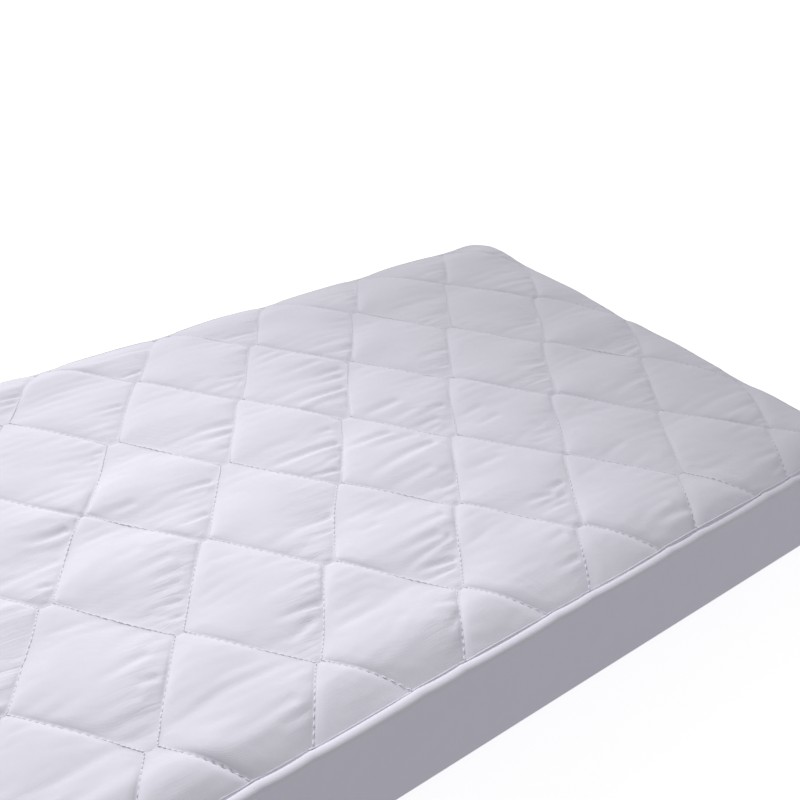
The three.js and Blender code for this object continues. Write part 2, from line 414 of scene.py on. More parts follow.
def seam_distance(p, q):
    f = p - np.floor(p)
    g = q - np.floor(q)
    return CELL_WIDTH * np.minimum(np.minimum(f, 1 - f), np.minimum(g, 1 - g))


# Creases. Cloth is gathered on the foot side of the stitch lines where p is whole: creases start there and
# run along the mattress towards the foot. The main ones are listed, in mm, from their deep end on.
MAIN_CREASES = (
    {"from": (-57, 203), "to": (-108, 202), "width": 2.6, "depth": 1.5},
    {"from": (103, 188), "to": (62, 188), "width": 2.2, "depth": 1.3},
    {"from": (94, 178), "to": (70, 160), "width": 2.0, "depth": 0.8},
    {"from": (32, 96), "to": (-35, 108), "width": 4.6, "depth": 1.3},
    {"from": (24, 82), "to": (-26, 85), "width": 3.6, "depth": 1.5},
    {"from": (18, 70), "to": (-4, 72), "width": 2.4, "depth": 0.8},
    {"from": (8, 58), "to": (-14, 57), "width": 2.2, "depth": 0.7},
    {"from": (192, 92), "to": (104, 91), "width": 4.0, "depth": 2.4},
    {"from": (168, 214), "to": (126, 213), "width": 3.6, "depth": 1.1},
    {"from": (180, 199), "to": (118, 195), "width": 3.6, "depth": 1.0},
    {"from": (200, 160), "to": (116, 157), "width": 4.4, "depth": 1.3},
    {"from": (215, 132), "to": (150, 129), "width": 4.0, "depth": 1.2},
    {"from": (205, 115), "to": (150, 116), "width": 3.2, "depth": 1.0},
    {"from": (-44, 13), "to": (-118, 15), "width": 3.2, "depth": 1.6},
    {"from": (-132, 22), "to": (-172, 26), "width": 4.4, "depth": 1.2},
    {"from": (-58, 3), "to": (-96, 1), "width": 2.6, "depth": 0.8},
    {"from": (-76, -35), "to": (-112, -38), "width": 2.4, "depth": 1.4},
    {"from": (122, 24), "to": (90, 21), "width": 4.0, "depth": 1.1},
    {"from": (116, 12), "to": (92, 14), "width": 3.0, "depth": 0.8},
    {"from": (112, -7), "to": (12, 2), "width": 3.6, "depth": 2.2},
    {"from": (97, -28), "to": (72, -31), "width": 2.2, "depth": 1.4},
    {"from": (82, -50), "to": (40, -40), "width": 2.4, "depth": 1.5},
    {"from": (176, -24), "to": (108, -19), "width": 3.8, "depth": 1.9},
    {"from": (200, -42), "to": (126, -39), "width": 4.2, "depth": 0.9},
    {"from": (206, -66), "to": (92, -78), "width": 5.0, "depth": 2.2},
    {"from": (172, -106), "to": (108, -108), "width": 4.6, "depth": 1.1},
    {"from": (190, -116), "to": (160, -118), "width": 3.0, "depth": 0.9},
    {"from": (182, -139), "to": (150, -141), "width": 2.8, "depth": 1.2},
    {"from": (226, 25), "to": (166, 27), "width": 5.0, "depth": 1.7},
    {"from": (232, 0), "to": (184, -2), "width": 4.0, "depth": 1.0},
    {"from": (268, -12), "to": (236, -11), "width": 2.8, "depth": 1.6},
    {"from": (244, -30), "to": (192, -28), "width": 3.6, "depth": 1.2},
    {"from": (234, -42), "to": (206, -43), "width": 2.6, "depth": 0.9},
    {"from": (302, -40), "to": (264, -42), "width": 3.4, "depth": 1.0},
    {"from": (308, -67), "to": (262, -70), "width": 3.6, "depth": 1.3},
    {"from": (338, -113), "to": (286, -115), "width": 3.2, "depth": 0.8},
    {"from": (-36, -175), "to": (-118, -178), "width": 4.6, "depth": 1.1},
    {"from": (-46, -190), "to": (-84, -191), "width": 2.8, "depth": 1.0},
    {"from": (-54, -215), "to": (-114, -211), "width": 2.8, "depth": 1.9},
    {"from": (-76, -229), "to": (-116, -240), "width": 3.8, "depth": 1.1},
    {"from": (128, -178), "to": (22, -183), "width": 5.0, "depth": 1.3},
    {"from": (104, -200), "to": (28, -204), "width": 4.8, "depth": 1.3},
    {"from": (110, -209), "to": (34, -222), "width": 2.8, "depth": 1.7},
    {"from": (94, -238), "to": (40, -231), "width": 2.8, "depth": 2.0},
    {"from": (84, -249), "to": (48, -246), "width": 2.4, "depth": 1.0},
    {"from": (60, -152), "to": (30, -152), "width": 3.4, "depth": 0.9},
    {"from": (48, -303), "to": (14, -311), "width": 3.2, "depth": 1.7},
    {"from": (58, -289), "to": (24, -281), "width": 3.6, "depth": 0.9},
    {"from": (-4, -275), "to": (-38, -286), "width": 4.0, "depth": 0.7},
    {"from": (200, -309), "to": (158, -310), "width": 3.2, "depth": 1.6},
    {"from": (212, -274), "to": (164, -281), "width": 4.2, "depth": 1.0},
    {"from": (-160, -46), "to": (-220, -51), "width": 5.0, "depth": 1.0},
    {"from": (-142, -75), "to": (-196, -78), "width": 4.2, "depth": 0.9},
    {"from": (-142, -98), "to": (-182, -97), "width": 2.6, "depth": 1.0},
    {"from": (-152, -113), "to": (-206, -118), "width": 3.4, "depth": 1.0},
    {"from": (-162, -136), "to": (-184, -132), "width": 2.4, "depth": 1.2},
    {"from": (-168, -154), "to": (-188, -151), "width": 2.2, "depth": 1.4},
    {"from": (-222, -180), "to": (-308, -193), "width": 4.6, "depth": 1.3},
    {"from": (-228, -212), "to": (-254, -206), "width": 2.8, "depth": 1.9},
    {"from": (-250, -222), "to": (-296, -219), "width": 4.0, "depth": 0.8},
    {"from": (-142, -299), "to": (-226, -306), "width": 4.8, "depth": 1.3},
    {"from": (-136, -315), "to": (-176, -318), "width": 3.0, "depth": 0.8},
    {"from": (-206, 23), "to": (-256, 19), "width": 4.2, "depth": 1.8},
    {"from": (-232, -14), "to": (-270, -17), "width": 3.4, "depth": 0.8},
    {"from": (-254, -47), "to": (-272, -45), "width": 2.4, "depth": 1.6},
    {"from": (-128, 122), "to": (-158, 118), "width": 2.8, "depth": 1.2},
    {"from": (-118, 131), "to": (-142, 130), "width": 2.2, "depth": 0.8},
    {"from": (252, -133), "to": (198, -133), "width": 4.6, "depth": 1.0},
    {"from": (278, -208), "to": (246, -212), "width": 2.6, "depth": 1.7},
    {"from": (252, -220), "to": (208, -212), "width": 3.0, "depth": 1.7},
    {"from": (266, -226), "to": (216, -229), "width": 2.4, "depth": 1.2},
    {"from": (254, -238), "to": (212, -236), "width": 2.4, "depth": 1.2},
    {"from": (372, -322), "to": (300, -316), "width": 3.6, "depth": 1.2},
    {"from": (348, -300), "to": (296, -301), "width": 4.2, "depth": 0.9},
    {"from": (392, -195), "to": (334, -201), "width": 4.0, "depth": 0.9},
)

# The rest, in the diamonds that have none of those
CREASE_KINDS = (
    {"count": (1, 3), "from": (0.2, 0.8), "length": (50, 95), "width": (3.4, 5.0), "depth": (0.9, 1.9)},
    {"count": (2, 5), "from": (0.06, 0.6), "length": (20, 45), "width": (2.2, 3.2), "depth": (0.8, 1.5)},
)
CREASE_HEADING = math.radians(6)
CREASE_BEND = 0.6
CREASE_START = 2.2 * MM
CREASE_FADE = 3 * MM
CREASE_SPREAD = 0.4
WALLS = (0.9, 1.1)
RIDGE_SHARE = 0.45
RIDGE_PLACE = 1.5
MAIN_WIDER = 1.2
MAIN_DEEPER = 1.5


def one_crease(x, y, start, end, width, depth, bend):
    """A soft trough with a low ridge beside it, fading to its end."""
    length = math.hypot(end[0] - start[0], end[1] - start[1])
    away_x = (end[0] - start[0]) / length
    away_y = (end[1] - start[1]) / length
    along = (x - start[0]) * away_x + (y - start[1]) * away_y
    across = (y - start[1]) * away_x - (x - start[0]) * away_y
    across = across + bend * along * (length - along)
    share = np.clip(along / length, 0, 1)
    spread = width * (1 + CREASE_SPREAD * share)
    fade = np.clip(along / CREASE_FADE, 0, 1) * (1 - share**2)
    trough = -np.exp(-((across / spread / np.where(across < 0, *WALLS)) ** 2))
    ridge = RIDGE_SHARE * np.exp(-((across / spread - RIDGE_PLACE) ** 2))
    return depth * fade * (trough + ridge)


def creases(x, y, p, q):
    """Height that all creases add: the placed ones, then drawn ones in the diamonds that have none."""
    height = np.zeros_like(x)
    cell_p = np.floor(p)
    cell_q = np.floor(q)
    placed = set()
    for row in MAIN_CREASES:
        start = [length * MM for length in row["from"]]
        end = [length * MM for length in row["to"]]
        middle = plan_to_lattice((start[0] + end[0]) / 2, (start[1] + end[1]) / 2)
        diamond = (math.floor(middle[0]), math.floor(middle[1]))
        placed.add(diamond)
        here = (cell_p == diamond[0]) & (cell_q == diamond[1])
        bend = CREASE_BEND * chance.uniform(-1, 1)
        width = MAIN_WIDER * row["width"] * MM
        shape = one_crease(x[here], y[here], start, end, width, MAIN_DEEPER * row["depth"] * MM, bend)
        height[here] += shape
    for line_p in range(int(cell_p.min()), int(cell_p.max()) + 1):
        for line_q in range(int(cell_q.min()), int(cell_q.max()) + 1):
            here = (cell_p == line_p) & (cell_q == line_q)
            if (line_p, line_q) in placed or not here.any():
                continue
            for kind in CREASE_KINDS:
                for _ in range(chance.integers(*kind["count"], endpoint=True)):
                    g = chance.uniform(*kind["from"])
                    start = lattice_to_plan(np.array(line_p + 1 - 1e-4), np.array(line_q + g))
                    heading = chance.uniform(-CREASE_HEADING, CREASE_HEADING)
                    length = chance.uniform(*kind["length"]) * MM
                    end = (start[0] - length * math.cos(heading), start[1] - length * math.sin(heading))
                    width = chance.uniform(*kind["width"]) * MM
                    depth = chance.uniform(*kind["depth"]) * MM
                    bend = CREASE_BEND * chance.uniform(-1, 1)
                    height[here] += one_crease(x[here], y[here], start, end, width, depth, bend)
    return height


CORNER_CREASE = 1.6 * MM
CORNER_CREASE_WIDTH = 2.4 * MM
CORNER_CREASE_END = 2 * MM


def corner_creases(x, y, p, q):
    """The short crease that joins the two corners at each crossing."""
    line_p = np.round(p)
    line_q = np.round(q)
    middle_x, middle_y = lattice_to_plan(line_p, line_q)
    reach = gap_at(line_p, line_q) / 2
    between = np.clip((reach - np.abs(x - middle_x)) / CORNER_CREASE_END + 1, 0, 1)
    return -CORNER_CREASE * between * np.exp(-(((y - middle_y) / CORNER_CREASE_WIDTH) ** 2))


def patches(x, y, pitch, level, contrast, most):
    """Strength that comes and goes over the plan, between 0 and its most."""
    patch = slow_waves(pitch)
    return np.clip(level + contrast * patch(x, y), 0, most)


def rising(share, least, start):
    """Grows from its least to 1 over half a diamond, from the start towards the next stitch line."""
    return least + (1 - least) * np.clip((share - start) / 0.5, 0, 1)


# Soft streaks along the mattress, in patches
STREAK_HEIGHT = 0.2 * MM
STREAK_HEADINGS = (-7, -3, 0, 3, 6)
STREAK_PITCHES = (19, 27, 15, 22, 34)
STREAK_BEND = 1.6
STREAK_BEND_PITCH = 0.14


def streaks(x, y, p):
    total = np.zeros_like(x)
    for heading, pitch in zip(STREAK_HEADINGS, STREAK_PITCHES):
        angle = math.radians(heading)
        across = y * math.cos(angle) - x * math.sin(angle)
        bend = slow_waves(STREAK_BEND_PITCH)
        strength = patches(x, y, pitch=0.10, level=0.35, contrast=1.1, most=1.4)
        total += strength * np.sin(2 * math.pi * across / (pitch * MM) + STREAK_BEND * bend(x, y))
    return STREAK_HEIGHT * total * rising(p - np.floor(p), least=0.35, start=0.25)


GATHER_START = 3 * MM
GATHER_FADE = 0.5


def gathering(x, y, p, q):
    """Where the cloth has its finest creases: near the lines that gather it, in patches."""
    towards_line = rising(p - np.floor(p), least=0.15, start=0.4)
    low_side = 1 - GATHER_FADE * (q - np.floor(q))
    strength = patches(x, y, pitch=0.12, level=0.45, contrast=0.9, most=1)
    return towards_line * low_side * strength * np.clip(seam_distance(p, q) / GATHER_START, 0, 1)


def seam_level(x, y):
    """Height of the stitches."""
    return SEAM_LEVEL - edge_fall(edge_distance(x, y))


def plain_height(x, y, p, q):
    """Height of the quilt without its lumps and creases."""
    distance = np.maximum(edge_distance(x, y), 0)
    slip = slipped(x, y)
    roll = EDGE_ROLL - (EDGE_ROLL - TIGHT_ROLL) * slip
    share = puff_share(p, q)
    rise = CROWN * fullness(p, q) * share * (1 - np.exp(-distance / roll))
    bulge = EDGE_BULGE * slip * share * np.exp(-((distance / EDGE_BULGE_REACH) ** 2))
    return seam_level(x, y) + rise + bulge


DRAW_REACH = 12 * MM
GATHER_INSET = 20 * MM


def make_cover():
    """The quilted cover: its lattice, lumps and creases first, then the filling by simulation."""
    made = flat_cover()
    mesh = made.data
    points = positions(mesh)
    x, y = points[:, 0].copy(), points[:, 1].copy()
    p, q, beat = (numbers(mesh, name) for name in ("p", "q", "beat"))
    p = np.where(np.abs(p - np.round(p)) < ON_LINE, np.round(p), p)
    q = np.where(np.abs(q - np.round(q)) < ON_LINE, np.round(q), q)
    is_rim = rim_vertices(mesh)
    is_seam = (p == np.round(p)) | (q == np.round(q))
    distance = np.maximum(edge_distance(x, y), 0)
    from_seam = seam_distance(p, q)
    share = puff_share(p, q)
    lumps = slow_waves(LUMP_PITCH)
    hollows = slow_waves(HOLLOW_PITCH)
    unevenness = SMALL_LUMPS * lumps(x, y) + HOLLOWS * hollows(x / HOLLOW_STRETCH, y)
    rise = unevenness * np.sqrt(share)
    rise += GROOVE_DEPTH * (1 - np.exp(-from_seam / GROOVE_WIDTH))
    rise -= stitch_pull(p, q) * beat * np.exp(-from_seam / PUCKER_REACH)
    off_seam = 1 - np.exp(-((from_seam / CREASE_START) ** 2))
    rise += (creases(x, y, p, q) + streaks(x, y, p)) * off_seam
    rise += corner_creases(x, y, p, q)
    points[:, 2] = plain_height(x, y, p, q) + rise * (1 - np.exp(-distance / EDGE_ROLL))
    # The edge is drawn in where stitch lines reach it
    draw = (SCALLOP * (1 - share) - OVERHANG * share) * np.exp(-distance / DRAW_REACH)
    facing_x, facing_y = edge_facing(x, y)
    points[:, 0] -= facing_x * draw
    points[:, 1] -= facing_y * draw
    set_positions(mesh, points)
    gather = gathering(x, y, p, q) * np.minimum(distance / GATHER_INSET, 1)
    layer = mesh.attributes.new("gather", "FLOAT", "POINT")
    layer.data.foreach_set("value", gather.astype(np.float32))
    swell(made, np.nonzero(is_rim | is_seam)[0])
    close_cover(made)
    return made


# Settings of the cloth simulation
SWELL_FRAMES = 9
SWELL_QUALITY = 5
SWELL_PRESSURE = 1.2
SPARE_CLOTH = 0.002


def swell(made, held):
    """Blender's cloth: pressure fills the puffs between the stitches and the edge, which are held."""
    group = made.vertex_groups.new(name="held")
    group.add(held.tolist(), 1.0, "REPLACE")
    cloth = made.modifiers.new("Cloth", "CLOTH")
    settings = cloth.settings
    settings.quality = SWELL_QUALITY
    settings.mass = 0.01
    settings.tension_stiffness = 12
    settings.compression_stiffness = 12
    settings.shear_stiffness = 4
    settings.bending_stiffness = 0.05
    settings.tension_damping = 5
    settings.compression_damping = 5
    settings.shear_damping = 5
    settings.air_damping = 3
    settings.vertex_group_mass = "held"
    settings.shrink_min = -SPARE_CLOTH
    settings.use_pressure = True
    settings.uniform_pressure_force = SWELL_PRESSURE
    settings.effector_weights.gravity = 0
    cloth.collision_settings.use_collision = False
    cloth.collision_settings.use_self_collision = False
    for step in range(1, SWELL_FRAMES + 1):
        bpy.context.scene.frame_set(step)
    graph = bpy.context.evaluated_depsgraph_get()
    swollen = positions(made.evaluated_get(graph).data)
    made.modifiers.remove(cloth)
    made.vertex_groups.remove(group)
    bpy.context.scene.frame_set(1)
    set_positions(made.data, swollen)


UNDERSIDE_RINGS = 2
UNDERSIDE_LIFT = 1.0 * MM


def close_cover(made):
    """Gives the upper cloth its side and an underside just above the mattress, as one closed piece."""
    shape = bmesh.new()
    shape.from_mesh(made.data)
    rim = [e for e in shape.edges if e.is_boundary]
    before = 0
    for ring in range(UNDERSIDE_RINGS + 1):
        inset = EDGE_FALL_REACH * ring / UNDERSIDE_RINGS
        grown = bmesh.ops.extrude_edge_only(shape, edges=rim)["geom"]
        for v in grown:
            if isinstance(v, bmesh.types.BMVert):
                v.co.x *= (panel_high.x - inset) / (panel_high.x - before)
                v.co.y *= (panel_high.y - inset) / (panel_high.y - before)
                fall = edge_fall(max(edge_distance(v.co.x, v.co.y), 0))
                v.co.z = block_high.z + UNDERSIDE_LIFT - fall
        rim = [e for e in grown if isinstance(e, bmesh.types.BMEdge) and e.is_boundary]
        before = inset
    bmesh.ops.contextual_create(shape, geom=rim)
    bmesh.ops.recalc_face_normals(shape, faces=shape.faces)
    shape.to_mesh(made.data)
    shape.free()
    made.data.shade_smooth()


# Stitches: one joined mesh of short threads, each from one needle hole to the next
THREAD_HALF_WIDTH = 0.7 * MM
THREAD_HALF_HEIGHT = 0.3 * MM
THREAD_LIFT = 0.14 * MM
THREAD_TAPER = 0.4
THREAD_SIDES = 6
THREAD_RINGS = 5
STITCH_FILL = 0.98
STITCH_SWAY = 0.15 * MM
STITCH_MARGIN = 3 * MM
SHORT_OF_CROSSING = 1e-4


def needle_holes(fixed, start, is_p):
    """Plan points and lattice numbers of the needle holes from one crossing to the next along a line."""
    share = eased(np.arange(STITCHES + 1) / STITCHES)
    share = np.clip(share, SHORT_OF_CROSSING, 1 - SHORT_OF_CROSSING)
    moving = start + share
    still = np.full_like(moving, fixed)
    p, q = (still, moving) if is_p else (moving, still)
    x, y = lattice_to_plan(p, q)
    return np.stack([x, y, p, q], 1)


def make_stitches():
    ends = []
    for is_p in (True, False):
        for fixed in range(-LATTICE_REACH, LATTICE_REACH):
            for start in range(-LATTICE_REACH, LATTICE_REACH):
                holes = needle_holes(fixed, start, is_p)
                ends.append(np.stack([holes[:-1], holes[1:]], 1))
    ends = np.concatenate(ends)
    x, y, p, q = ends.mean(1).T
    ends = ends[edge_distance(x, y) > STITCH_MARGIN]
    x, y, p, q = ends.mean(1).T
    step = (ends[:, 1] - ends[:, 0])[:, :2]
    length = np.hypot(step[:, 0], step[:, 1])
    ahead = step / length[:, None]
    aside = np.stack([-ahead[:, 1], ahead[:, 0]], 1)
    middle = np.stack([x, y], 1) + aside * chance.normal(0, STITCH_SWAY, len(ends))[:, None]
    level = seam_level(middle[:, 0], middle[:, 1]) + THREAD_LIFT
    pull = stitch_pull(p, q)
    threads = np.zeros((len(ends), THREAD_RINGS, THREAD_SIDES, 3))
    for i in range(THREAD_RINGS):
        share = STITCH_FILL * (i / (THREAD_RINGS - 1) - 0.5)
        thickness = 1 - THREAD_TAPER + THREAD_TAPER * math.cos(math.pi * share)
        centre = middle + ahead * (length * share)[:, None]
        height = level + pull * math.cos(2 * math.pi * share)
        for k in range(THREAD_SIDES):
            turn = 2 * math.pi * k / THREAD_SIDES
            threads[:, i, k, :2] = centre + aside * THREAD_HALF_WIDTH * thickness * math.cos(turn)
            threads[:, i, k, 2] = height + THREAD_HALF_HEIGHT * thickness * math.sin(turn)
    size = THREAD_RINGS * THREAD_SIDES
    faces = []
    for i in range(THREAD_RINGS - 1):
        for k in range(THREAD_SIDES):
            after = (k + 1) % THREAD_SIDES
            low = i * THREAD_SIDES
            high = low + THREAD_SIDES
            faces.append((low + k, low + after, high + after, high + k))
    starts = np.arange(len(ends)) * size
    quads = (starts[:, None, None] + np.array(faces)[None]).reshape(-1, 4)
    caps = [list(first + k for k in reversed(range(THREAD_SIDES))) for first in starts]
    caps += [list(first + size - THREAD_SIDES + k for k in range(THREAD_SIDES)) for first in starts]
    return mesh_object("quilting_thread", threads.reshape(-1, 3), quads.tolist() + caps)


def hoop_object(name, grid):
    """Rings of points joined into a hoop round the outline. The grid is stations by section points."""
    stations, section, _ = grid.shape
    index = np.arange(stations * section).reshape(stations, section)
    ahead = np.roll(index, -1, 0)
    after = np.roll(index, -1, 1)
    both = np.roll(ahead, -1, 1)
    faces = np.stack([index, ahead, both, after], -1).reshape(-1, 4)
    return mesh_object(name, grid.reshape(-1, 3), faces)


WELT_HALF_WIDTH = 5.4 * MM
WELT_HALF_HEIGHT = 4.0 * MM
WELT_SIDES = 20
WELT_LEVEL = EDGE_LEVEL + 0.4 * MM
WELT_INSET = PANEL_INSET / 2 + 1.4 * MM
WELT_SLIP = 4.0 * MM
WELT_SWAY = 0.5 * MM
WELT_SWAY_PITCH = 0.22
WELT_UNEVENNESS = 0.16
WELT_UNEVEN_PITCH = 0.16
welt_sway = slow_waves(WELT_SWAY_PITCH)


def edge_line():
    """How far the welt's line lies inside its outline at each station."""
    places, _ = outline(0)
    return scallop_at(places) + WELT_SWAY * welt_sway(places[:, 0], places[:, 1])


def make_welt():
    places, facings = outline(0)
    line = edge_line()
    unevenness = slow_waves(WELT_UNEVEN_PITCH)
    thickness = 1 + WELT_UNEVENNESS * unevenness(places[:, 0], places[:, 1])
    level = WELT_LEVEL - WELT_SLIP * slipped(places[:, 0], places[:, 1])
    grid = np.zeros((len(places), WELT_SIDES, 3))
    for i in range(WELT_SIDES):
        turn = 2 * math.pi * i / WELT_SIDES
        inset = WELT_INSET + line - WELT_HALF_WIDTH * thickness * math.cos(turn)
        grid[:, i, :2] = places - facings * inset[:, None]
        grid[:, i, 2] = level + WELT_HALF_HEIGHT * thickness * math.sin(turn)
    return hoop_object("edge_roll", grid)


LIP_HALF_WIDTH = 0.8 * MM
LIP_HALF_HEIGHT = 0.4 * MM
LIP_SIDES = 8
LIP_INSET = WELT_INSET + WELT_HALF_WIDTH + 1.3 * MM
LIP_RISE = 0.1 * MM
LIP_SHOW = 0.35 * MM
LIP_SHOW_PITCH = 0.3


def make_lip(cover):
    """The edge of the seam's cloth under the panel, which shows through as a thin line beside the welt."""
    places, facings = outline(0)
    show = slow_waves(LIP_SHOW_PITCH)
    places = places - facings * (LIP_INSET + edge_line())[:, None]
    surface = BVHTree.FromObject(cover, bpy.context.evaluated_depsgraph_get())
    down = Vector((0, 0, -1))
    level = np.array([surface.ray_cast(Vector((x, y, 1)), down)[0].z for x, y in places])
    level = (np.roll(level, 1) + 2 * level + np.roll(level, -1)) / 4
    level += LIP_RISE + LIP_SHOW * show(places[:, 0], places[:, 1])
    grid = np.zeros((len(places), LIP_SIDES, 3))
    for i in range(LIP_SIDES):
        turn = 2 * math.pi * i / LIP_SIDES
        grid[:, i, :2] = places + facings * LIP_HALF_WIDTH * math.cos(turn)
        grid[:, i, 2] = level + LIP_HALF_HEIGHT * math.sin(turn)
    return hoop_object("seam_lip", grid)


CLOTH_THICKNESS = 1.2 * MM
SKIRT_ROWS_DOWN = 22
SKIRT_ROWS_ROUND = 8
SKIRT_ROWS_UNDER = 9
SKIRT_INSET = 3 * MM
SKIRT_TOP = WELT_LEVEL - 1.4 * MM
SKIRT_LEAN = 2.0 * MM
LEAN_REACH = 16 * MM
TOP_ROWS_CLOSER = 1.4
BASE_LEVEL = 1.4 * MM
TURN_RADIUS = 10 * MM
TUCK = 58 * MM


def skirt_profile():
    """Inset and height of the middle of the skirt's cloth, from the welt down and under."""
    rows = []
    turn_level = BASE_LEVEL + TURN_RADIUS
    for i in range(SKIRT_ROWS_DOWN):
        share = (i / SKIRT_ROWS_DOWN) ** TOP_ROWS_CLOSER
        z = SKIRT_TOP + (turn_level - SKIRT_TOP) * share
        lean = SKIRT_LEAN * math.exp(-(((SKIRT_TOP - z) / LEAN_REACH) ** 2))
        rows.append((SKIRT_INSET - lean, z))
    for i in range(SKIRT_ROWS_ROUND):
        turn = math.pi / 2 * i / SKIRT_ROWS_ROUND
        inset = SKIRT_INSET + TURN_RADIUS * (1 - math.cos(turn))
        rows.append((inset, turn_level - TURN_RADIUS * math.sin(turn)))
    for i in range(SKIRT_ROWS_UNDER):
        share = i / (SKIRT_ROWS_UNDER - 1)
        start = SKIRT_INSET + TURN_RADIUS
        rows.append((start + (TUCK - start) * share, turn_level - TURN_RADIUS))
    return rows


# The skirt follows the welt's line near it, and has slow ripples away from the welt and the fold
FOLLOW_REACH = 25 * MM
RIPPLE = 0.7 * MM
RIPPLE_PITCH = 0.35
RIPPLE_BELOW_WELT = 30 * MM
RIPPLE_ABOVE_FOLD = 20 * MM


def make_skirt():
    middles = []
    line = edge_line()
    for inset, z in skirt_profile():
        places, facings = outline(inset)
        follows = math.exp(-(((WELT_LEVEL - z) / FOLLOW_REACH) ** 2))
        places = places - facings * (line * follows)[:, None]
        level = z - WELT_SLIP * slipped(places[:, 0], places[:, 1]) * follows
        middles.append(np.column_stack([places, level]))
    middles = np.stack(middles, 1)
    down = np.gradient(middles, axis=1)
    along = np.roll(middles, -1, 0) - np.roll(middles, 1, 0)
    normal = np.cross(down, along)
    normal /= np.linalg.norm(normal, axis=2, keepdims=True)
    heights = middles[:, :, 2]
    unevenness = slow_waves(RIPPLE_PITCH)
    ripple = unevenness(middles[:, :, 0] + middles[:, :, 1], heights * 2)
    below_welt = np.clip((WELT_LEVEL - heights) / RIPPLE_BELOW_WELT, 0, 1)
    above_fold = np.clip(heights / RIPPLE_ABOVE_FOLD, 0, 1)
    middles = middles + normal * (RIPPLE * ripple * below_welt * above_fold)[:, :, None]
    outer = middles + normal * CLOTH_THICKNESS / 2
    inner = middles - normal * CLOTH_THICKNESS / 2
    return hoop_object("skirt_sheet", np.concatenate([outer, inner[:, ::-1]], 1))


MATTRESS_EDGE_RADIUS = 12 * MM
BLOCK_EDGE_ROWS = 6
BEND_ROWS = 8


def make_mattress():
    rows = []
    for i in range(BLOCK_EDGE_ROWS + 1):
        turn = math.pi / 2 * i / BLOCK_EDGE_ROWS
        rise = MATTRESS_EDGE_RADIUS * (1 - math.cos(turn))
        rows.append((MATTRESS_INSET + MATTRESS_EDGE_RADIUS * (1 - math.sin(turn)), block_low.z + rise))
    for i in range(BLOCK_EDGE_ROWS + 1):
        turn = math.pi / 2 * i / BLOCK_EDGE_ROWS
        inset = MATTRESS_INSET + MATTRESS_EDGE_RADIUS * (1 - math.cos(turn))
        level = block_high.z - edge_fall(inset - PANEL_INSET)
        rows.append((inset, level - MATTRESS_EDGE_RADIUS * (1 - math.sin(turn))))
    softened = MATTRESS_INSET + MATTRESS_EDGE_RADIUS
    for i in range(1, BEND_ROWS + 1):
        inset = softened + (PANEL_INSET + EDGE_FALL_REACH - softened) * i / BEND_ROWS
        rows.append((inset, block_high.z - edge_fall(inset - PANEL_INSET)))
    points = []
    for inset, z in rows:
        places, _ = outline(inset)
        points.append(np.column_stack([places, np.full(len(places), z)]))
    count = len(points[0])
    faces = []
    for level in range(len(rows) - 1):
        for i in range(count):
            after = (i + 1) % count
            low = level * count
            faces.append((low + i, low + after, low + count + after, low + count + i))
    faces.append(tuple(range(count - 1, -1, -1)))
    last = (len(rows) - 1) * count
    faces.append(tuple(range(last, last + count)))
    return mesh_object("mattress_block", np.concatenate(points), faces)


# Materials
def number_node(tree, operation, first, second=None):
    """A Math node's output. Each operand is a number or another node's output."""
    node = tree.nodes.new("ShaderNodeMath")
    node.operation = operation
    for index, value in enumerate((first, second)):
        if isinstance(value, (int, float)):
            node.inputs[index].default_value = value
        elif value is not None:
            tree.links.new(value, node.inputs[index])
    return node.outputs[0]


FINE_CREASE_TURN = (0, 0, math.radians(-2))
FINE_CREASE_SIZE = (0.085, 0.0115, 0.03)


def fine_creases(tree, place):
    """Thin sharp creases, long along the mattress, where the gather attribute is strong."""
    turned = tree.nodes.new("ShaderNodeMapping")
    turned.vector_type = "TEXTURE"
    turned.inputs["Rotation"].default_value = FINE_CREASE_TURN
    turned.inputs["Scale"].default_value = FINE_CREASE_SIZE
    tree.links.new(place.outputs["Object"], turned.inputs["Vector"])
    noise = tree.nodes.new("ShaderNodeTexNoise")
    noise.inputs["Scale"].default_value = 1
    noise.inputs["Detail"].default_value = 2
    noise.inputs["Distortion"].default_value = 0.4
    tree.links.new(turned.outputs["Vector"], noise.inputs["Vector"])
    centred = number_node(tree, "SUBTRACT", noise.outputs["Fac"], 0.5)
    away = number_node(tree, "ABSOLUTE", centred)
    valley = number_node(tree, "POWER", number_node(tree, "MULTIPLY", away, 4), 0.6)
    gather = tree.nodes.new("ShaderNodeAttribute")
    gather.attribute_name = "gather"
    return number_node(tree, "MULTIPLY", number_node(tree, "MINIMUM", valley, 1), gather.outputs["Fac"])


DARKER_MOTTLE = 0.965

# Bands of a wave texture of scale 1 in each metre
WAVES_PER_UNIT = 20 / (2 * math.pi)


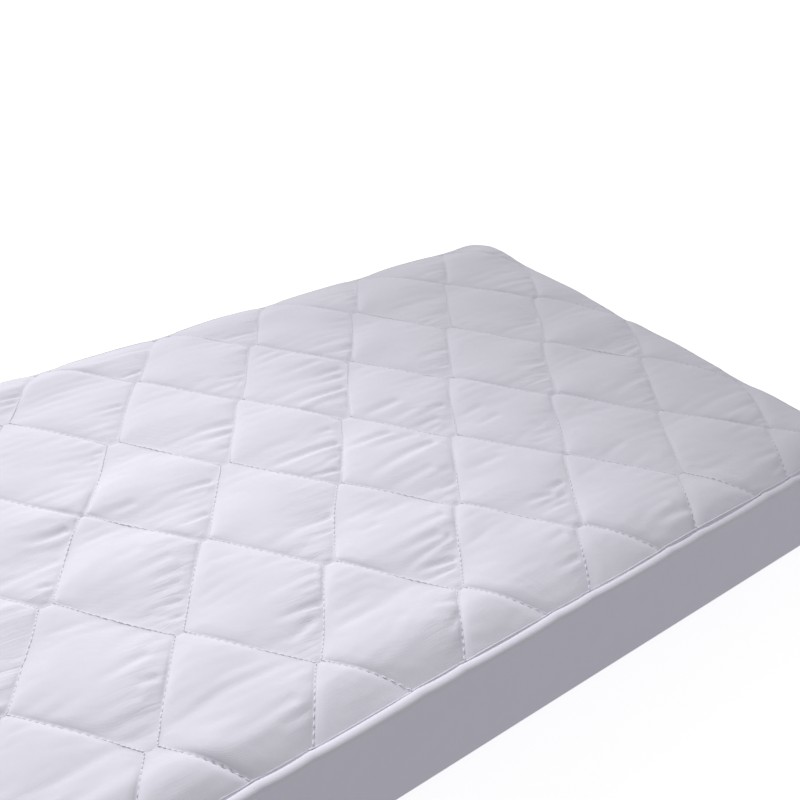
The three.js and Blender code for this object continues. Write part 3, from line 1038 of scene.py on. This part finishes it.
def cloth_material(name, colour, weave_pitch, weave_depth, crease_depth, sheen, gathered=0):
    """Woven cloth: a faint mottle, a crossed weave, a soft crumple and, where asked, fine creases."""
    material = bpy.data.materials.new(name)
    material.use_nodes = True
    tree = material.node_tree
    tree.nodes.clear()
    out = tree.nodes.new("ShaderNodeOutputMaterial")
    shader = tree.nodes.new("ShaderNodeBsdfPrincipled")
    tree.links.new(shader.outputs["BSDF"], out.inputs["Surface"])
    shader.inputs["Roughness"].default_value = 0.9
    shader.inputs["Sheen Weight"].default_value = sheen
    shader.inputs["Sheen Roughness"].default_value = 0.5
    shader.inputs["Specular IOR Level"].default_value = 0.25
    place = tree.nodes.new("ShaderNodeTexCoord")

    mottle = tree.nodes.new("ShaderNodeTexNoise")
    mottle.inputs["Scale"].default_value = 38
    mottle.inputs["Detail"].default_value = 4
    tree.links.new(place.outputs["Object"], mottle.inputs["Vector"])
    tint = tree.nodes.new("ShaderNodeMix")
    tint.data_type = "RGBA"
    tint.inputs[6].default_value = (*[c * DARKER_MOTTLE for c in colour], 1)
    tint.inputs[7].default_value = (*colour, 1)
    tree.links.new(mottle.outputs["Fac"], tint.inputs[0])
    tree.links.new(tint.outputs[2], shader.inputs["Base Color"])

    heights = None
    for direction in ("X", "Y", "Z"):
        wave = tree.nodes.new("ShaderNodeTexWave")
        wave.wave_type = "BANDS"
        wave.bands_direction = direction
        wave.inputs["Scale"].default_value = 1 / (WAVES_PER_UNIT * weave_pitch)
        wave.inputs["Distortion"].default_value = 0.6
        wave.inputs["Detail"].default_value = 1
        tree.links.new(place.outputs["Object"], wave.inputs["Vector"])
        thread = wave.outputs["Fac"]
        heights = thread if heights is None else number_node(tree, "ADD", heights, thread)
    weave = tree.nodes.new("ShaderNodeBump")
    weave.inputs["Distance"].default_value = weave_depth
    weave.inputs["Strength"].default_value = 1
    tree.links.new(heights, weave.inputs["Height"])

    crumple = tree.nodes.new("ShaderNodeTexNoise")
    crumple.inputs["Scale"].default_value = 30
    crumple.inputs["Detail"].default_value = 3
    tree.links.new(place.outputs["Object"], crumple.inputs["Vector"])
    crumples = tree.nodes.new("ShaderNodeBump")
    crumples.inputs["Distance"].default_value = crease_depth
    tree.links.new(crumple.outputs["Fac"], crumples.inputs["Height"])
    if gathered:
        fine = tree.nodes.new("ShaderNodeBump")
        fine.inputs["Distance"].default_value = gathered
        tree.links.new(fine_creases(tree, place), fine.inputs["Height"])
        tree.links.new(fine.outputs["Normal"], crumples.inputs["Normal"])
    tree.links.new(crumples.outputs["Normal"], weave.inputs["Normal"])
    tree.links.new(weave.outputs["Normal"], shader.inputs["Normal"])
    return material


FLOOR_REACH = 5.0
SWEEP_RADIUS = 2.0
SWEEP_STEPS = 12
FLOOR_SIDES = 64
BACKDROP_TOP = 9


def plain_floor():
    """A round pale floor that sweeps up into a backdrop."""
    material = bpy.data.materials.new("pale_floor")
    material.use_nodes = True
    shader = material.node_tree.nodes["Principled BSDF"]
    shader.inputs["Base Color"].default_value = (0.9, 0.9, 0.9, 1)
    shader.inputs["Roughness"].default_value = 0.9
    shader.inputs["Emission Color"].default_value = (1, 1, 1, 1)
    shader.inputs["Emission Strength"].default_value = 0.62
    rings = [(0.02, 0), (1, 0), (2, 0), (FLOOR_REACH, 0)]
    for i in range(1, SWEEP_STEPS + 1):
        turn = math.pi / 2 * i / SWEEP_STEPS
        rings.append((FLOOR_REACH + SWEEP_RADIUS * math.sin(turn), SWEEP_RADIUS * (1 - math.cos(turn))))
    rings.append((FLOOR_REACH + SWEEP_RADIUS, BACKDROP_TOP))
    points = []
    faces = []
    for radius, z in rings:
        for k in range(FLOOR_SIDES):
            angle = 2 * math.pi * k / FLOOR_SIDES
            points.append((radius * math.cos(angle), radius * math.sin(angle), z))
    for level in range(len(rings) - 1):
        for k in range(FLOOR_SIDES):
            after = (k + 1) % FLOOR_SIDES
            low = level * FLOOR_SIDES
            high = low + FLOOR_SIDES
            faces.append((low + k, low + after, high + after, high + k))
    faces.append(tuple(range(FLOOR_SIDES)))
    floor = mesh_object("floor", points, faces)
    floor.data.materials.append(material)
    floor.visible_diffuse = False
    floor.visible_shadow = False


# The camera that the photograph was taken with: the way it looks, its lens and its place
CAMERA_AZIMUTH = math.radians(49.866)
CAMERA_DROP = math.radians(32.403)
CAMERA_ROLL = math.radians(3.497)
CAMERA_LENS = 49.809
CAMERA_PLACE = (-0.51814, -0.8579, SEAM_LEVEL + 0.73697)


def place_camera():
    along_x = math.cos(CAMERA_AZIMUTH)
    along_y = math.sin(CAMERA_AZIMUTH)
    flat = math.cos(CAMERA_DROP)
    forward = Vector((along_x * flat, along_y * flat, -math.sin(CAMERA_DROP)))
    level = Vector((along_y, -along_x, 0))
    over = level.cross(forward)
    right = math.cos(CAMERA_ROLL) * level + math.sin(CAMERA_ROLL) * over
    up = right.cross(forward)
    data = bpy.data.cameras.new("camera")
    data.lens = CAMERA_LENS
    data.sensor_width = 36
    data.clip_start = 0.01
    data.clip_end = 100
    camera = new_object("camera", data)
    turn = Matrix((right, up, -forward)).transposed().to_4x4()
    camera.matrix_world = Matrix.Translation(CAMERA_PLACE) @ turn
    bpy.context.scene.camera = camera


def aim(lamp, target):
    lamp.rotation_mode = "QUATERNION"
    lamp.rotation_quaternion = (target - lamp.location).to_track_quat("-Z", "Y")


SKY = 0.42
TOWARDS_WINDOW = Vector((0.05, 0.74, 0.67))
KEY_TARGET = Vector((-0.18, -0.3, 0.14))
KEY_DISTANCE = 4.0
FILL_TARGET = Vector((0.1, 0, 0.14))
FILL_DISTANCE = 2.6


def place_lights():
    """Soft light from all round, with a narrow key and a wide fill from the window's side."""
    world = bpy.data.worlds.new("studio")
    bpy.context.scene.world = world
    world.use_nodes = True
    sky = world.node_tree.nodes["Background"]
    sky.inputs["Color"].default_value = (1, 1, 1, 1)
    sky.inputs["Strength"].default_value = SKY

    data = bpy.data.lights.new("key", "SPOT")
    data.energy = 336
    data.spot_size = math.radians(22)
    data.spot_blend = 1
    data.shadow_soft_size = 0.26
    key = new_object("key", data)
    key.location = KEY_TARGET + KEY_DISTANCE * TOWARDS_WINDOW
    aim(key, KEY_TARGET)

    data = bpy.data.lights.new("window_fill", "AREA")
    data.energy = 22
    data.shape = "RECTANGLE"
    data.size = 2.2
    data.size_y = 1.4
    fill = new_object("window_fill", data)
    fill.location = FILL_TARGET + FILL_DISTANCE * TOWARDS_WINDOW
    aim(fill, FILL_TARGET)


bpy.context.scene.view_settings.view_transform = "Standard"
place_camera()
place_lights()
plain_floor()

WHITE = (0.79, 0.775, 0.865)
# The thread is coloured lighter than the cloth: painted light, which offsets the shade that falls on it
# between the puffs.
THREAD_WHITE_PAINTED_LIGHTER = (0.85, 0.84, 0.92)
quilt_cloth = cloth_material("quilt_cloth", WHITE, 0.9 * MM, 0.03 * MM, 0.4 * MM, 0.15, 0.5 * MM)
welt_cloth = cloth_material("welt_cloth", WHITE, 0.9 * MM, 0.03 * MM, 0.2 * MM, 0.15)
# The thread's material takes that lighter colour, with its painted light.
thread = cloth_material("thread", THREAD_WHITE_PAINTED_LIGHTER, 0.6 * MM, 0.01 * MM, 0.02 * MM, 0.1)
skirt_cloth = cloth_material("skirt_cloth", (0.8, 0.78, 0.9), 0.9 * MM, 0.02 * MM, 0.1 * MM, 0.15)
ticking = cloth_material("ticking", (0.8, 0.78, 0.74), 1.6 * MM, 0.08 * MM, 0.3 * MM, 0.1)

cover = make_cover()
cover.data.materials.append(quilt_cloth)
stitches = make_stitches()
stitches.data.materials.append(thread)
welt = make_welt()
welt.data.materials.append(welt_cloth)
lip = make_lip(cover)
lip.data.materials.append(welt_cloth)
skirt = make_skirt()
skirt.data.materials.append(skirt_cloth)
block = make_mattress()
block.data.materials.append(ticking)

slots = (
    (cover, "quilt_cloth"),
    (stitches, "quilt_cloth"),
    (welt, "welt_cloth"),
    (lip, "welt_cloth"),
    (skirt, "skirt_cloth"),
    (block, "ticking"),
)
for piece, slot in slots:
    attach(piece, "root")
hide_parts("quilted_top")
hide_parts("edge_welt")
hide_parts("side_skirt")
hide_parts("mattress")
